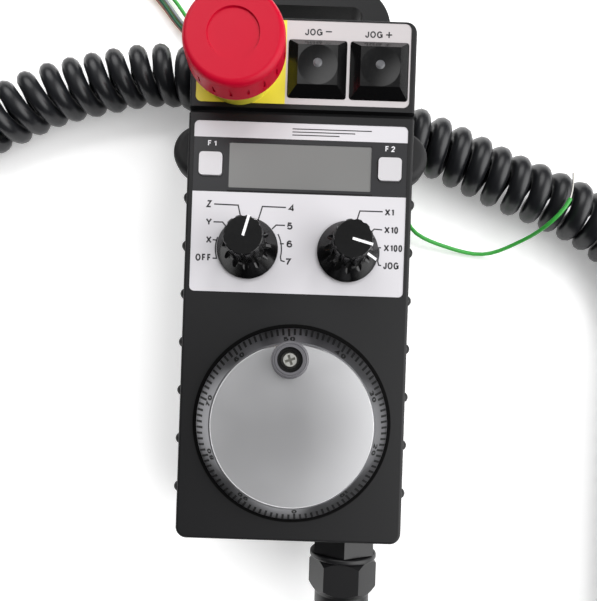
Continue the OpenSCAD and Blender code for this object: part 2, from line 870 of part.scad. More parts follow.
module estop_stem() color("#1a1a1c") translate([estop_x, estop_y, 0]) {
    rod(7 - fit, 44, estop_neck - 0.1);
    rod(4, estop_neck - 0.2, estop_top - 4);
}

module estop_head() color("#d42c42") translate([estop_x, estop_y, 0]) difference() {
    rotate_extrude() {
        re = estop_d / 2;
        zr = estop_top - 11.5;
        f = 2.4;
        polygon([[0, estop_neck], [10.9, estop_neck], [10.9, zr], [re - 1, zr], [re, zr + 1],
            [re, estop_top - f], [re - f, estop_top - f], [re - f, estop_top], [9.8, estop_top],
            [9.5, estop_top - 0.7], [0, estop_top - 0.7]]);
        translate([re - f, estop_top - f])
            circle(f);
    }
    rod(4 + fit, estop_neck - 1, estop_top - 3.5);
    for (k = [0 : 17])
        rotate([0, 0, 20 * k + 7])
            block(estop_d / 2 - 0.5, estop_d / 2 + 1, -0.5, 0.5, estop_top - 8, estop_top - 4.6);
}

// ---------- jog keys ----------

module jog_board() color("#1d5b35")
    block(jog_x[0] - jog_w / 2 + 1, jog_x[1] + jog_w / 2 - 0.5, jog_y - 13, jog_y + 10,
        jog_board_z, jog_board_z + board_t);

module jog_switches() color("#202022") {
    for (x = jog_x)
        translate([x, jog_y, 0])
            difference() {
                block(-jog_sw_w / 2, jog_sw_w / 2, -jog_sw_l / 2, jog_sw_l / 2,
                    jog_board_z + board_t, jog_sw_top);
                block(-jog_stem, jog_stem, -jog_stem, jog_stem, jog_sw_top - 6, jog_sw_top + 1);
            }
}

module jog_key() color("#141416") translate([0, jog_y, 0]) difference() {
    union() {
        difference() {
            intersection() {
                pill(jog_w, jog_l, 1, jog_sw_top + jog_travel + 1, foil_z + jog_h);
                sloping_rim();
            }
            translate([0, 0, jog_sw_top])
                linear_extrude(foil_z - 0.3 - jog_sw_top)
                    square([jog_sw_w + 1.6, jog_sw_l + 1.6], center = true);
        }
        translate([0, 0, jog_sw_top - 6 + jog_travel + 0.4])
            linear_extrude(foil_z - jog_sw_top + 5.6 - jog_travel)
                square(2 * (jog_stem - fit), center = true);
    }
    translate([0, 0, foil_z + jog_h + 63.5])
        sphere(64, $fn = 128);
    translate([0, jog_lens_y, 0])
        rod(1.85, foil_z + jog_h - 2, foil_z + jog_h + 1);
}

module sloping_rim() {
    intersection() {
        rotate([90, 0, 0])
            linear_extrude(jog_l + 4, center = true)
                key_side(jog_w);
        rotate([90, 0, 90])
            linear_extrude(jog_w + 4, center = true)
                key_side(jog_l);
    }
}

module key_side(w) {
    top = w - 2 * jog_rim;
    polygon([[-w / 2, jog_sw_top], [w / 2, jog_sw_top], [w / 2, foil_z + 0.4],
        [top / 2, foil_z + jog_h], [-top / 2, foil_z + jog_h], [-w / 2, foil_z + 0.4]]);
}

module jog_lens() color("#b9bcc0") translate([0, jog_y + jog_lens_y, 0]) {
    rod(1.85, foil_z + jog_h - 2, foil_z + jog_h - 0.5);
    translate([0, 0, foil_z + jog_h - 0.5])
        cylinder(r1 = 1.85, r2 = 1.1, h = 0.35);
}

module jog_minus_key() translate([jog_x[0], 0, 0]) jog_key();

module jog_minus_lens() translate([jog_x[0], 0, 0]) jog_lens();

module jog_plus_key() translate([jog_x[1], 0, 0]) jog_key();

module jog_plus_lens() translate([jog_x[1], 0, 0]) jog_lens();

// ---------- enable buttons ----------

enable_in = in_x - gap;

module enable_switches() color("#2b2b2e") {
    for (s = [-1, 1])
        mirror([s < 0 ? 1 : 0, 0, 0])
            translate([0, enable_y, 0])
                difference() {
                    block(enable_in - 22.2, enable_in - 2.1 - enable_travel - 0.3, -8, 8,
                        head_under + wall_t, 44.5);
                    block(enable_in - 11, enable_in, -2.95, 2.95,
                        enable_z - 2.95, enable_z + 2.95);
                }
}

module enable_right() color("#1c1c1e") {
    re = enable_l / 2;
    he = enable_h / 2 - enable_edge;
    intersection() {
        translate([case_w / 2 + enable_out - re, enable_y, enable_z])
            rotate_extrude() {
                translate([0, -he])
                    square([re, 2 * he]);
                translate([0, -he - enable_edge])
                    square([re - enable_edge, enable_h]);
                for (z = [-he, he])
                    translate([re - enable_edge, z])
                        circle(enable_edge);
            }
        block(enable_in - 1, case_w, case_bot, case_top, 0, face_z);
    }
    block(enable_in - 2.1, enable_in, enable_y - 13.6, enable_y + 13.6,
        enable_z - 5.2, enable_z + 5.2);
    block(enable_in - 8, enable_in - 1, enable_y - 2.88, enable_y + 2.88,
        enable_z - 2.88, enable_z + 2.88);
}

module enable_left() mirror([1, 0, 0]) enable_right();

// ---------- cable gland and cords ----------

module at_gland() {
    translate([gland_x, case_bot, gland_z])
        rotate([90, 0, 0])
            children();
}

module gland_body() color("#1b1b1d") at_gland() difference() {
    union() {
        rotate([0, 0, 33.5])
            hex(gland_af, 0, 9);
        rod(10, -wall_t - 6.5, 20);
    }
    rod(cable_d / 2 + 0.5, -13, 12.1);
    rod(8, 12, 21);
}

module soft_rod(r, z0, z1) {
    rotate_extrude()
        translate([0, z0])
            intersection() {
                square([r, z1 - z0]);
                union() {
                    square([r - 0.8, z1 - z0]);
                    translate([0, 0.8])
                        square([r, z1 - z0 - 1.6]);
                    for (y = [0.8, z1 - z0 - 0.8])
                        translate([r - 0.8, y])
                            circle(r = 0.8);
                }
            }
}

module gland_seal() color("#0e0e0e") at_gland() difference() {
    rod(8, 12, 22);
    rod(cable_d / 2, 11, 23);
}

module gland_nut() color("#202022") at_gland() difference() {
    union() {
        soft_rod(gland_nut_af / 2 + 1.8, 9.3, 11.7);
        intersection() {
            rotate([0, 0, 8])
                hex(gland_nut_af, 11.6, 26);
            union() {
                translate([0, 0, 11.6])
                    cylinder(r1 = gland_nut_af / 2 - 0.4, r2 = gland_nut_af / 2 + 2.2, h = 2.6);
                rod(20, 14.1, 24);
                translate([0, 0, 24])
                    cylinder(r1 = gland_nut_af / 2 + 2.2, r2 = gland_nut_af / 2, h = 2);
            }
        }
        translate([0, 0, 25.9])
            cylinder(r1 = 12.6, r2 = 12, h = 1.5);
        rod(12, 27.3, gland_len - 0.8);
        translate([0, 0, gland_len - 0.8])
            cylinder(r1 = 12, r2 = 11.2, h = 0.8);
    }
    rod(10, 8, 20.2);
    rod(8, 20, 22);
    rod(cable_d / 2 + 0.3, 21, gland_len + 1);
}

module gland_locknut() color("#b9bcc0") at_gland() difference() {
    hex(24, -wall_t - 5, -wall_t);
    rod(10, -wall_t - 6, 0);
}

module cable_stub() color("#1a1a1a") at_gland() rod(cable_d / 2, -15, gland_len);

function unit(v) = v / norm(v);
function smooth(p, i, t) = let (a = p[max(i - 1, 0)], b = p[i], c = p[i + 1],
    d = p[min(i + 2, len(p) - 1)])
    0.5 * (2 * b + (c - a) * t + (2 * a - 5 * b + 4 * c - d) * t * t
        + (3 * b - a - 3 * c + d) * t * t * t);
function line(p, n) = concat([for (i = [0 : len(p) - 2], k = [0 : n - 1]) smooth(p, i, k / n)],
    [p[len(p) - 1]]);
function ahead(q, i) = unit(q[min(i + 1, len(q) - 1)] - q[max(i - 1, 0)]);
function ring_at(q, i, r, m) = let (t = ahead(q, i), s = unit(cross(t, [0, 0, 1])),
    u = cross(s, t))
    [for (k = [0 : m - 1]) q[i] + r * (s * cos(360 * k / m) + u * sin(360 * k / m))];

module tube(p, n, r, m) {
    q = line(p, n);
    last = len(q) - 1;
    rings = [for (i = [0 : last], v = ring_at(q, i, r, m)) v];
    sides = [for (i = [0 : last - 1], k = [0 : m - 1])
        [i * m + k, i * m + (k + 1) % m, (i + 1) * m + (k + 1) % m, (i + 1) * m + k]];
    near = [for (k = [m - 1 : -1 : 0]) k];
    far = [for (k = [0 : m - 1]) last * m + k];
    polyhedron(rings, concat(sides, [near, far]), 4);
}

module cord_lead() color("#1a1a1a") tube(lead_route, 3, 4.5, 12);

module curly_cord() color("#1a1a1a") tube(coil_route, 2, 13.5, 12);

module cord_tail() color("#1a1a1a") tube(tail_route, 3, 4.5, 12);

module core_bundle() color("#a07a6a") tube(bundle_route, 3, 2.8, 8);

module core_green() color("#7fae3a") tube(green_route, 3, 0.95, 8);

front_shell();
back_shell();
rating_plate();
hang_loop();
shell_gasket();
shell_screws();
main_board();
board_screws();
terminal_block();
display_board();
lcd_module();
lcd_window();
lower_label();
upper_label();
fkey_switches();
f1_key();
f2_key();
axis_switch();
rate_switch();
switch_nuts();
axis_shaft();
axis_knob();
axis_pointer();
rate_shaft();
rate_knob();
rate_pointer();
encoder_case();
encoder_back();
encoder_screws();
encoder_shaft();
code_disc();
graduated_dial();
wheel_disc();
spinner_screw();
spinner_handle();
estop_barrel();
estop_nut();
estop_contacts();
estop_stem();
estop_head();
jog_board();
jog_switches();
jog_minus_key();
jog_minus_lens();
jog_plus_key();
jog_plus_lens();
enable_switches();
enable_left();
enable_right();
gland_body();
gland_seal();
gland_nut();
gland_locknut();
cable_stub();
cord_lead();
curly_cord();
cord_tail();
core_bundle();
core_green();
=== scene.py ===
# %% [markdown]
# # A hand-held pulse generator
# This notebook dresses the solid model of a machine tool's jog pendant: its finishes, its printed
# foils and dial, its curly cord and the light it lies in. The solids come first and are never
# moved, because motion and collision are measured on them.

# %% Load the solid model
import math
import bmesh
import bpy
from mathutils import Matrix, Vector


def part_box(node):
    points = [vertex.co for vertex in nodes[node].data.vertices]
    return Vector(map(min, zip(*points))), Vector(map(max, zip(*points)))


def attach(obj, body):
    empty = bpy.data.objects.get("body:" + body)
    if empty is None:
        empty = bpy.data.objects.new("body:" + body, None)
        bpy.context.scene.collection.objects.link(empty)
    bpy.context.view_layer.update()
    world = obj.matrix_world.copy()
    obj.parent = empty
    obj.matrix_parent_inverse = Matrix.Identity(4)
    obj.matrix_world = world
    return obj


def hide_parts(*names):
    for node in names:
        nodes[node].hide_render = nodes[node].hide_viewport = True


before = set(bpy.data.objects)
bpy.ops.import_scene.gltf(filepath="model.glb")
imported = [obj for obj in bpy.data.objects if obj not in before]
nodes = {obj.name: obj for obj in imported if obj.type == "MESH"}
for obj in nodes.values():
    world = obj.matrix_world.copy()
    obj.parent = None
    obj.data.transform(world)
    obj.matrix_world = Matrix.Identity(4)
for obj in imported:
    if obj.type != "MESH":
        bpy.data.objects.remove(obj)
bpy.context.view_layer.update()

# %% [markdown]
# The model is in metres, and sizes below are written in millimetres. Some finishes and prints
# are laid out from the middle of a piece, so its box gives that middle.

# %% Helpers for places
MM = 0.001

def middle_of(name):
    low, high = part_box(name)
    return (low + high) / 2

def top_of(name):
    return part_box(name)[1].z

def add_object(name, data):
    piece = bpy.data.objects.new(name, data)
    bpy.context.scene.collection.objects.link(piece)
    return piece

print("case top at", round(top_of("front_shell") / MM, 1), "mm")

# %% [markdown]
# ## Camera
# A pendant is best understood face on, so the camera looks straight down on the front. It is
# close, which is why the tall parts lean outward. Lens shift, not a tilt, frames the object, so
# the edges of the case stay parallel.

# %% Place the camera
cam_data = bpy.data.cameras.new("camera")
cam_data.sensor_width = 36.0
cam_data.lens = 31.66
cam_data.shift_x = 0.0153
cam_data.shift_y = 0.1323
cam_data.clip_start = 0.01
camera = add_object("camera", cam_data)
camera.location = (-1.5 * MM, -34.95 * MM, 270 * MM)
camera.rotation_euler = (0, 0, math.radians(1.93))
bpy.context.scene.camera = camera
print("camera", round(camera.location.z, 2), "m above the table")

# %% [markdown]
# ## Colour
# Paint and plastic colours are read as sRGB hex, as on a colour card. The renderer works in
# linear light, so one function turns them. Another adds a shader node, sets its values and
# joins its inputs, so that a material reads as a short list of nodes.

# %% Colour and material helpers
def linear(hex_code):
    rgb = [int(hex_code[i:i + 2], 16) / 255 for i in (1, 3, 5)]
    return [c / 12.92 if c <= 0.04045 else ((c + 0.055) / 1.055) ** 2.4 for c in rgb] + [1]

def start_material(name):
    mat = bpy.data.materials.new(name)
    mat.use_nodes = True
    tree = mat.node_tree
    return mat, tree, tree.nodes["Principled BSDF"]

def add_node(tree, kind, settings=None, links=None):
    node = tree.nodes.new(kind)
    for key, value in (settings or {}).items():
        if isinstance(key, int) or key in node.inputs:
            node.inputs[key].default_value = value
        else:
            setattr(node, key, value)
    for key, source in (links or {}).items():
        tree.links.new(source, node.inputs[key])
    return node

print("mid grey in linear light", round(linear("#808080")[0], 3))

# %% [markdown]
# ## Moulded plastics
# The case is injection moulded ABS from a spark-eroded tool, which leaves a grain of about half
# a millimetre. The same recipe, with another colour, grain and roughness, gives every moulded
# piece, so it is one function.

# %% A moulded plastic recipe
def moulded(name, hex_code, rough, grain_mm=0.5, depth=0.25, spread=0.06, ior=1.5):
    mat, tree, bsdf = start_material(name)
    place = add_node(tree, "ShaderNodeTexCoord")
    grain = add_node(tree, "ShaderNodeTexNoise", {"Scale": 1000 / grain_mm, "Detail": 3.0},
                     {"Vector": place.outputs["Object"]})
    cloud = add_node(tree, "ShaderNodeTexNoise", {"Scale": 35.0, "Detail": 2.0},
                     {"Vector": place.outputs["Object"]})
    base = linear(hex_code)
    tone = add_node(tree, "ShaderNodeValToRGB", {}, {"Fac": cloud.outputs["Fac"]})
    tone.color_ramp.elements[0].position = 0.3
    tone.color_ramp.elements[1].position = 0.7
    tone.color_ramp.elements[0].color = [c * (1 - spread) for c in base[:3]] + [1]
    tone.color_ramp.elements[1].color = [min(1, c * (1 + spread)) for c in base[:3]] + [1]
    tree.links.new(tone.outputs["Color"], bsdf.inputs["Base Color"])
    shine = add_node(tree, "ShaderNodeMapRange", {"To Min": rough - 0.05, "To Max": rough + 0.07},
                     {"Value": grain.outputs["Fac"]})
    tree.links.new(shine.outputs["Result"], bsdf.inputs["Roughness"])
    bump = add_node(tree, "ShaderNodeBump", {"Strength": depth, "Distance": 0.00005},
                    {"Height": grain.outputs["Fac"]})
    tree.links.new(bump.outputs["Normal"], bsdf.inputs["Normal"])
    bsdf.inputs["IOR"].default_value = ior
    return mat

case_abs = moulded("case_abs_spark_grain", "#0F0F11", 0.46, 0.55, 0.35, 0.06, 1.42)
switch_nylon = moulded("switch_body_nylon", "#1C1C1E", 0.42, 0.4, 0.2)
knob_abs = moulded("knob_polished_abs", "#070708", 0.14, 1.2, 0.04)
key_abs = moulded("jog_key_polished_abs", "#060607", 0.16, 1.4, 0.04, 0.06, 1.42)
button_rubber = moulded("enable_button_rubber", "#101012", 0.62, 0.4, 0.3)
seal_rubber = moulded("seal_rubber", "#141414", 0.7, 0.4, 0.3)
gland_nylon = moulded("gland_nylon", "#0F0F11", 0.4, 0.5, 0.25)
stop_red = moulded("stop_head_red_nylon", "#BE0028", 0.38, 0.7, 0.12, 0.03, 1.3)
key_white = moulded("function_key_white", "#CAC8CB", 0.35, 0.5, 0.1, 0.02)
pointer_white = moulded("pointer_white_inlay", "#F1F0F2", 0.45, 0.5, 0.1, 0.02)
bezel_black = moulded("bezel_matt_black", "#030303", 0.75, 0.5, 0.12, 0.06, 1.2)
handle_grey = moulded("spinner_satin_grey_well_shade", "#5E5D61", 0.34, 1.0, 0.06)
lens_milky = moulded("lamp_lens_milky", "#595A5D", 0.3, 0.6, 0.1)
board_green = moulded("board_solder_mask", "#1B5A36", 0.3, 0.3, 0.15)
block_green = moulded("terminal_green_nylon", "#2F8C48", 0.4, 0.5, 0.2)
contact_cream = moulded("contact_block_cream", "#D9D7D0", 0.4, 0.5, 0.2)
encoder_blue = moulded("encoder_back_blue", "#1F4C86", 0.4, 0.5, 0.2)
print("moulded plastics made")

# %% [markdown]
# ## Metals
# The wheel's disc is aluminium with a fine satin lay, and the dial under it is a darker satin
# ring. Screws are nickel plated. A metal keeps the default IOR; the look is in the colour, the
# roughness and a fine bump.

# %% A metal recipe
def metal(name, hex_code, rough, grain_mm, depth, rough_spread=0.05):
    mat, tree, bsdf = start_material(name)
    place = add_node(tree, "ShaderNodeTexCoord")
    grain = add_node(tree, "ShaderNodeTexNoise", {"Scale": 1000 / grain_mm, "Detail": 4.0},
                     {"Vector": place.outputs["Object"]})
    cloud = add_node(tree, "ShaderNodeTexNoise", {"Scale": 60.0, "Detail": 2.0},
                     {"Vector": place.outputs["Object"]})
    shine = add_node(tree, "ShaderNodeMapRange",
                     {"To Min": rough - rough_spread, "To Max": rough + rough_spread},
                     {"Value": cloud.outputs["Fac"]})
    tree.links.new(shine.outputs["Result"], bsdf.inputs["Roughness"])
    bump = add_node(tree, "ShaderNodeBump", {"Strength": depth, "Distance": 0.00003},
                    {"Height": grain.outputs["Fac"]})
    tree.links.new(bump.outputs["Normal"], bsdf.inputs["Normal"])
    bsdf.inputs["Base Color"].default_value = linear(hex_code)
    bsdf.inputs["Metallic"].default_value = 1.0
    return mat

disc_aluminium = metal("disc_satin_aluminium_painted_reflection", "#DCDCDE", 0.34, 0.25, 0.2)
dial_aluminium = metal("dial_satin_aluminium", "#838386", 0.33, 0.3, 0.06, 0.02)
plate_aluminium = metal("rating_plate_aluminium", "#A4A6A9", 0.36, 0.3, 0.2)
nickel_plate = metal("screw_nickel_plate", "#D6D6D0", 0.3, 0.4, 0.15)
shaft_steel = metal("shaft_ground_steel", "#A9ABAE", 0.3, 0.3, 0.1)
black_steel = metal("screw_blackened_steel", "#4A4B4E", 0.4, 0.3, 0.15)
lcd_can = metal("display_can_tinned", "#B6B8BA", 0.3, 0.4, 0.1)
print("metals made")

# %% [markdown]
# ## Second tones
# A few pieces have a second tone in one place. On the spinner it is painted shade, and on the
# disc a painted reflection. The place is told by a distance, along a direction or from an
# upright axis, and a mask is one where that distance is short.

# %% Masks by distance
def from_centre(tree, centre):
    place = add_node(tree, "ShaderNodeTexCoord")
    return add_node(tree, "ShaderNodeVectorMath", {"operation": "SUBTRACT", 1: centre},
                    {0: place.outputs["Object"]}).outputs["Vector"]

def along(tree, centre, direction):
    """Distance of a point from the centre, along one direction, without its sign."""
    size = add_node(tree, "ShaderNodeVectorMath", {"operation": "DOT_PRODUCT", 1: direction},
                    {0: from_centre(tree, centre)})
    return add_node(tree, "ShaderNodeMath", {"operation": "ABSOLUTE"},
                    {0: size.outputs["Value"]}).outputs[0]

def around(tree, centre):
    """Distance of a point from the upright axis through the centre."""
    flat = add_node(tree, "ShaderNodeVectorMath", {"operation": "MULTIPLY", 1: (1, 1, 0)},
                    {0: from_centre(tree, centre)})
    return add_node(tree, "ShaderNodeVectorMath", {"operation": "LENGTH"},
                    {0: flat.outputs["Vector"]}).outputs["Value"]

def nearer(tree, distance, limit):
    return add_node(tree, "ShaderNodeMath", {"operation": "LESS_THAN", 1: limit},
                    {0: distance}).outputs[0]

def second_tone(mat, zones, hex_code):
    """A zone is a list of masks, and lies where all of them are one."""
    tree = mat.node_tree
    colour = tree.nodes["Principled BSDF"].inputs["Base Color"]
    for masks in zones:
        zone = masks[0]
        for mask in masks[1:]:
            zone = add_node(tree, "ShaderNodeMath", {"operation": "MULTIPLY"},
                            {0: zone, 1: mask}).outputs[0]
        mix = add_node(tree, "ShaderNodeMix", {"data_type": "RGBA"}, {"Factor": zone})
        if colour.is_linked:
            tree.links.new(colour.links[0].from_socket, mix.inputs[6])
        else:
            mix.inputs[6].default_value = colour.default_value
        mix.inputs[7].default_value = linear(hex_code)
        tree.links.new(mix.outputs[2], colour)

print("masks ready")

# %% [markdown]
# The spinner's screw is bright nickel, and its cross recess has painted shade: a darker tone
# of the nickel. The well round the screw has painted shade too, drawn black.

# %% Painted shade in the screw and well of the spinner
SLOT_HALF, SLOT_REACH = 0.42 * MM, 1.8 * MM
WELL_RADIUS, WELL_MIDDLE, WELL_HALF = 4.5 * MM, 3.2 * MM, 3 * MM
UP = (0, 0, 1)
screw_middle = (*middle_of("spinner_screw").xy, top_of("spinner_screw"))
screw_nickel = metal("spinner_screw_nickel_slot_shade", "#DEDED8", 0.3, 0.6, 0.5, 0.1)
tree = screw_nickel.node_tree
across, beside = ((math.cos(math.radians(a)), math.sin(math.radians(a)), 0) for a in (20, 110))
# Painted shade: the cross recess gets a darker tone of the nickel, for the shade in its slots.
second_tone(screw_nickel,
            [[nearer(tree, along(tree, screw_middle, one), SLOT_HALF),
              nearer(tree, along(tree, screw_middle, other), SLOT_REACH)]
             for one, other in ((across, beside), (beside, across))], "#8E8D86")
# Painted shade: the well round the screw is drawn black, for the shade that falls in it.
tree = handle_grey.node_tree
well_middle = (0, 0, top_of("spinner_handle") - WELL_MIDDLE)
second_tone(handle_grey, [[nearer(tree, around(tree, screw_middle), WELL_RADIUS),
                           nearer(tree, along(tree, well_middle, UP), WELL_HALF)]],
            "#0B0B0C")
print("spinner toned")

# %% [markdown]
# The disc has a painted reflection: it is a little darker in its middle and fades to the full
# tone outward. The stop button's barrel is black, and its collar has the yellow of the field
# round it.

# %% Painted reflection on the disc, and the stop collar
PAINTED_REFLECTION_RADIUS = 36 * MM
COLLAR_HIGH = 5.7 * MM
YELLOW = "#E6DA46"
# Painted reflection: the disc's middle is darker and fades out to this radius.
tree = disc_aluminium.node_tree
painted_reflection_fade = add_node(tree, "ShaderNodeMapRange",
                {"interpolation_type": "SMOOTHSTEP", "From Max": PAINTED_REFLECTION_RADIUS,
                 "To Min": 1.0, "To Max": 0.0},
                {"Value": around(tree, (*middle_of("graduated_dial").xy, 0))})
second_tone(disc_aluminium, [[painted_reflection_fade.outputs["Result"]]], "#BABABC")
collar_nylon = moulded("stop_collar_nylon", "#1C1C1E", 0.42, 0.4, 0.2)
tree = collar_nylon.node_tree
second_tone(collar_nylon,
            [[nearer(tree, along(tree, (0, 0, top_of("estop_barrel")), UP), COLLAR_HIGH)]],
            YELLOW)
print("disc and collar toned")

# %% [markdown]
# ## Printed foils
# Both labels are polyester foils printed from behind: a white ground, a black band round the
# display and a yellow field under the stop button. The print is drawn by where a point of the
# foil lies, in millimetres, with the same sharp edges as a screen print.

# %% Foil material
def foil(name, ground, fields):
    mat, tree, bsdf = start_material(name)
    place = add_node(tree, "ShaderNodeTexCoord")
    axes = add_node(tree, "ShaderNodeSeparateXYZ", {}, {"Vector": place.outputs["Object"]})
    grain = add_node(tree, "ShaderNodeTexNoise", {"Scale": 1400.0, "Detail": 2.0},
                     {"Vector": place.outputs["Object"]})
    speck = add_node(tree, "ShaderNodeTexNoise", {"Scale": 45.0, "Detail": 3.0},
                     {"Vector": place.outputs["Object"]})
    base = linear(ground)
    tone = add_node(tree, "ShaderNodeValToRGB", {}, {"Fac": speck.outputs["Fac"]})
    tone.color_ramp.elements[0].color = [c * 0.96 for c in base[:3]] + [1]
    tone.color_ramp.elements[1].color = [min(1, c * 1.03) for c in base[:3]] + [1]
    colour = tone.outputs["Color"]
    for axis, low, high, hex_code in fields:
        above = add_node(tree, "ShaderNodeMath", {"operation": "GREATER_THAN", 1: low * MM},
                         {0: axes.outputs[axis]})
        below = add_node(tree, "ShaderNodeMath", {"operation": "LESS_THAN", 1: high * MM},
                         {0: axes.outputs[axis]})
        inside = add_node(tree, "ShaderNodeMath", {"operation": "MULTIPLY"},
                          {0: above.outputs[0], 1: below.outputs[0]})
        mix = add_node(tree, "ShaderNodeMix", {"data_type": "RGBA"},
                       {"Factor": inside.outputs[0]})
        tree.links.new(colour, mix.inputs[6])
        mix.inputs[7].default_value = linear(hex_code)
        colour = mix.outputs[2]
    tree.links.new(colour, bsdf.inputs["Base Color"])
    bump = add_node(tree, "ShaderNodeBump", {"Strength": 0.12, "Distance": 0.00004},
                    {"Height": grain.outputs["Fac"]})
    tree.links.new(bump.outputs["Normal"], bsdf.inputs["Normal"])
    bsdf.inputs["Roughness"].default_value = 0.38
    return mat

BAND_LOW, BAND_HIGH = 40.8, 63.0
FIELD_LEFT, FIELD_RIGHT = -60, -7.2
lower_foil = foil("foil_white_with_black_band", "#D3D1D5",
                  [("Y", BAND_LOW, BAND_HIGH, "#1D1D20")])
upper_foil = foil("foil_white_with_yellow_field", "#C2BDBE",
                  [("X", FIELD_LEFT, FIELD_RIGHT, YELLOW)])
print("foils made")

# %% [markdown]
# The display is off: an even grey with a faint cloud, under a glossy coat.

# %% Display window
display_grey, tree, bsdf = start_material("display_window_grey")
place = add_node(tree, "ShaderNodeTexCoord")
cloud = add_node(tree, "ShaderNodeTexNoise", {"Scale": 30.0, "Detail": 1.0},
                 {"Vector": place.outputs["Object"]})
tone = add_node(tree, "ShaderNodeValToRGB", {}, {"Fac": cloud.outputs["Fac"]})
tone.color_ramp.elements[0].color = linear("#747473")
tone.color_ramp.elements[1].color = linear("#7C7C7B")
tree.links.new(tone.outputs["Color"], bsdf.inputs["Base Color"])
bsdf.inputs["Roughness"].default_value = 0.2
bsdf.inputs["Coat Weight"].default_value = 0.4
print("display made")

# %% [markdown]
# ## Dress the solids
# Each finish goes on the pieces that are made of it.

# %% Which piece has which finish
finish = {
    case_abs: "front_shell back_shell hang_loop",
    seal_rubber: "shell_gasket gland_seal",
    black_steel: "shell_screws encoder_screws",
    nickel_plate: "board_screws switch_nuts gland_locknut",
    screw_nickel: "spinner_screw",
    collar_nylon: "estop_barrel",
    shaft_steel: "axis_shaft rate_shaft encoder_shaft",
    board_green: "main_board display_board jog_board",
    block_green: "terminal_block",
    lcd_can: "lcd_module",
    display_grey: "lcd_window",
    lower_foil: "lower_label",
    upper_foil: "upper_label",
    switch_nylon: "fkey_switches axis_switch rate_switch estop_nut estop_stem "
                  "jog_switches enable_switches",
    key_white: "f1_key f2_key",
    knob_abs: "axis_knob rate_knob",
    pointer_white: "axis_pointer rate_pointer",
    bezel_black: "encoder_case",
    encoder_blue: "encoder_back",
    lens_milky: "jog_minus_lens jog_plus_lens code_disc",
    dial_aluminium: "graduated_dial",
    disc_aluminium: "wheel_disc",
    plate_aluminium: "rating_plate",
    handle_grey: "spinner_handle",
    contact_cream: "estop_contacts",
    stop_red: "estop_head",
    key_abs: "jog_minus_key jog_plus_key",
    button_rubber: "enable_left enable_right",
    gland_nylon: "gland_body gland_nut",
}
for mat, names in finish.items():
    for name in names.split():
        nodes[name].data.materials.clear()
        nodes[name].data.materials.append(mat)
print("finishes", len(finish))

# %% [markdown]
# A few edges are touched all the time and are rounder than the solids' own.

# %% Soften the handled edges
for name, width in (("hang_loop", 1.2), ("f1_key", 0.25), ("f2_key", 0.25),
                    ("jog_minus_key", 0.45), ("jog_plus_key", 0.45)):
    edge = nodes[name].modifiers.new("edge", "BEVEL")
    edge.width = width * MM
    edge.segments = 3
    edge.limit_method = "ANGLE"
    edge.angle_limit = math.radians(30)
print("edges softened")

# %% [markdown]
# ## Cords
# The curly cord is one 9 mm cable: straight out of the gland, then wound into a spring 27 mm
# across, then straight again to its stripped end. It is drawn as a single curve with a round
# bevel, because a curve keeps its length and thickness exactly. The routes are in millimetres.

# %% Route of the cable
lead_route = [(25, -133.75, 33), (25, -145, 33), (25, -157, 33), (26, -170, 31), (36, -193, 24),
              (60, -204, 16), (73, -205, 13.5), (79, -205, 13.5), (85, -205, 13.5)]
coil_route = [(85, -205, 13.5), (98, -205, 13.5), (111, -205, 13.5), (135, -203, 13.5),
              (160, -190, 13.5), (172, -165, 13.5), (172, -110, 13.5), (172, -55, 13.5),
              (172, -5, 13.5), (163, 28, 13.5), (145, 45, 13.5), (122, 56, 13.5),
              (99, 65, 13.5), (77, 75, 13.5), (55, 84, 13.5), (30, 91, 13.5), (0, 97, 13.5),
              (-30, 103, 13.5), (-60, 110, 13.5), (-78, 109.5, 13.5), (-95, 106, 13.5),
              (-118, 100, 13.5), (-134, 93, 13.5), (-152, 84, 13.5), (-170, 82, 13.5),
              (-184, 92, 13.5), (-188, 105, 13.5), (-188, 115, 13.5), (-188, 125, 13.5)]
tail_route = [(-188, 125, 13.5), (-188, 129, 13.5), (-188, 133, 13.5), (-185, 148, 9),
              (-177, 160, 6), (-162, 168, 5), (-146, 170, 5), (-130, 170, 5), (-115, 170, 5),
              (-100, 170, 5)]
print("route points", len(lead_route) + len(coil_route) + len(tail_route))

# %% [markdown]
# A route becomes a smooth line through its points, and the line is then cut in even steps.

# %% Smooth and even lines
def smooth_line(route, steps):
    """A Catmull-Rom spline through the route."""
    points = [Vector(p) * MM for p in route]
    line = []
    for i in range(len(points) - 1):
        a, b, c = points[max(i - 1, 0)], points[i], points[i + 1]
        d = points[min(i + 2, len(points) - 1)]
        for k in range(steps):
            t = k / steps
            line.append(0.5 * (2 * b + (c - a) * t + (2 * a - 5 * b + 4 * c - d) * t * t
                               + (3 * b - a - 3 * c + d) * t ** 3))
    return line + [points[-1]]

def line_length(line):
    return sum((q - p).length for p, q in zip(line, line[1:]))

def even_line(line, step):
    total = line_length(line)
    count = max(2, round(total / step))
    out, target, done = [line[0]], total / count, 0.0
    for p, q in zip(line, line[1:]):
        seg = (q - p).length
        while len(out) < count and done + seg >= target * len(out):
            out.append(p.lerp(q, (target * len(out) - done) / seg))
        done += seg
    return out + [line[-1]]

print("line helpers ready")

# %% [markdown]
# The spring is wound round its middle line. At each end the cord first shifts from that line
# to the spring's skin, then leans over into the turns.

# %% Wind the spring
CABLE = 9.0 * MM
PITCH = 10.4 * MM
SPRING_RADIUS = 9.0 * MM
SHIFT = 20 * MM
BEND = 11 * MM
FINE = 0.25 * MM
COIL_STEP, LEAD_STEP, TAIL_STEP = 2.6 * MM, 5 * MM, 6 * MM

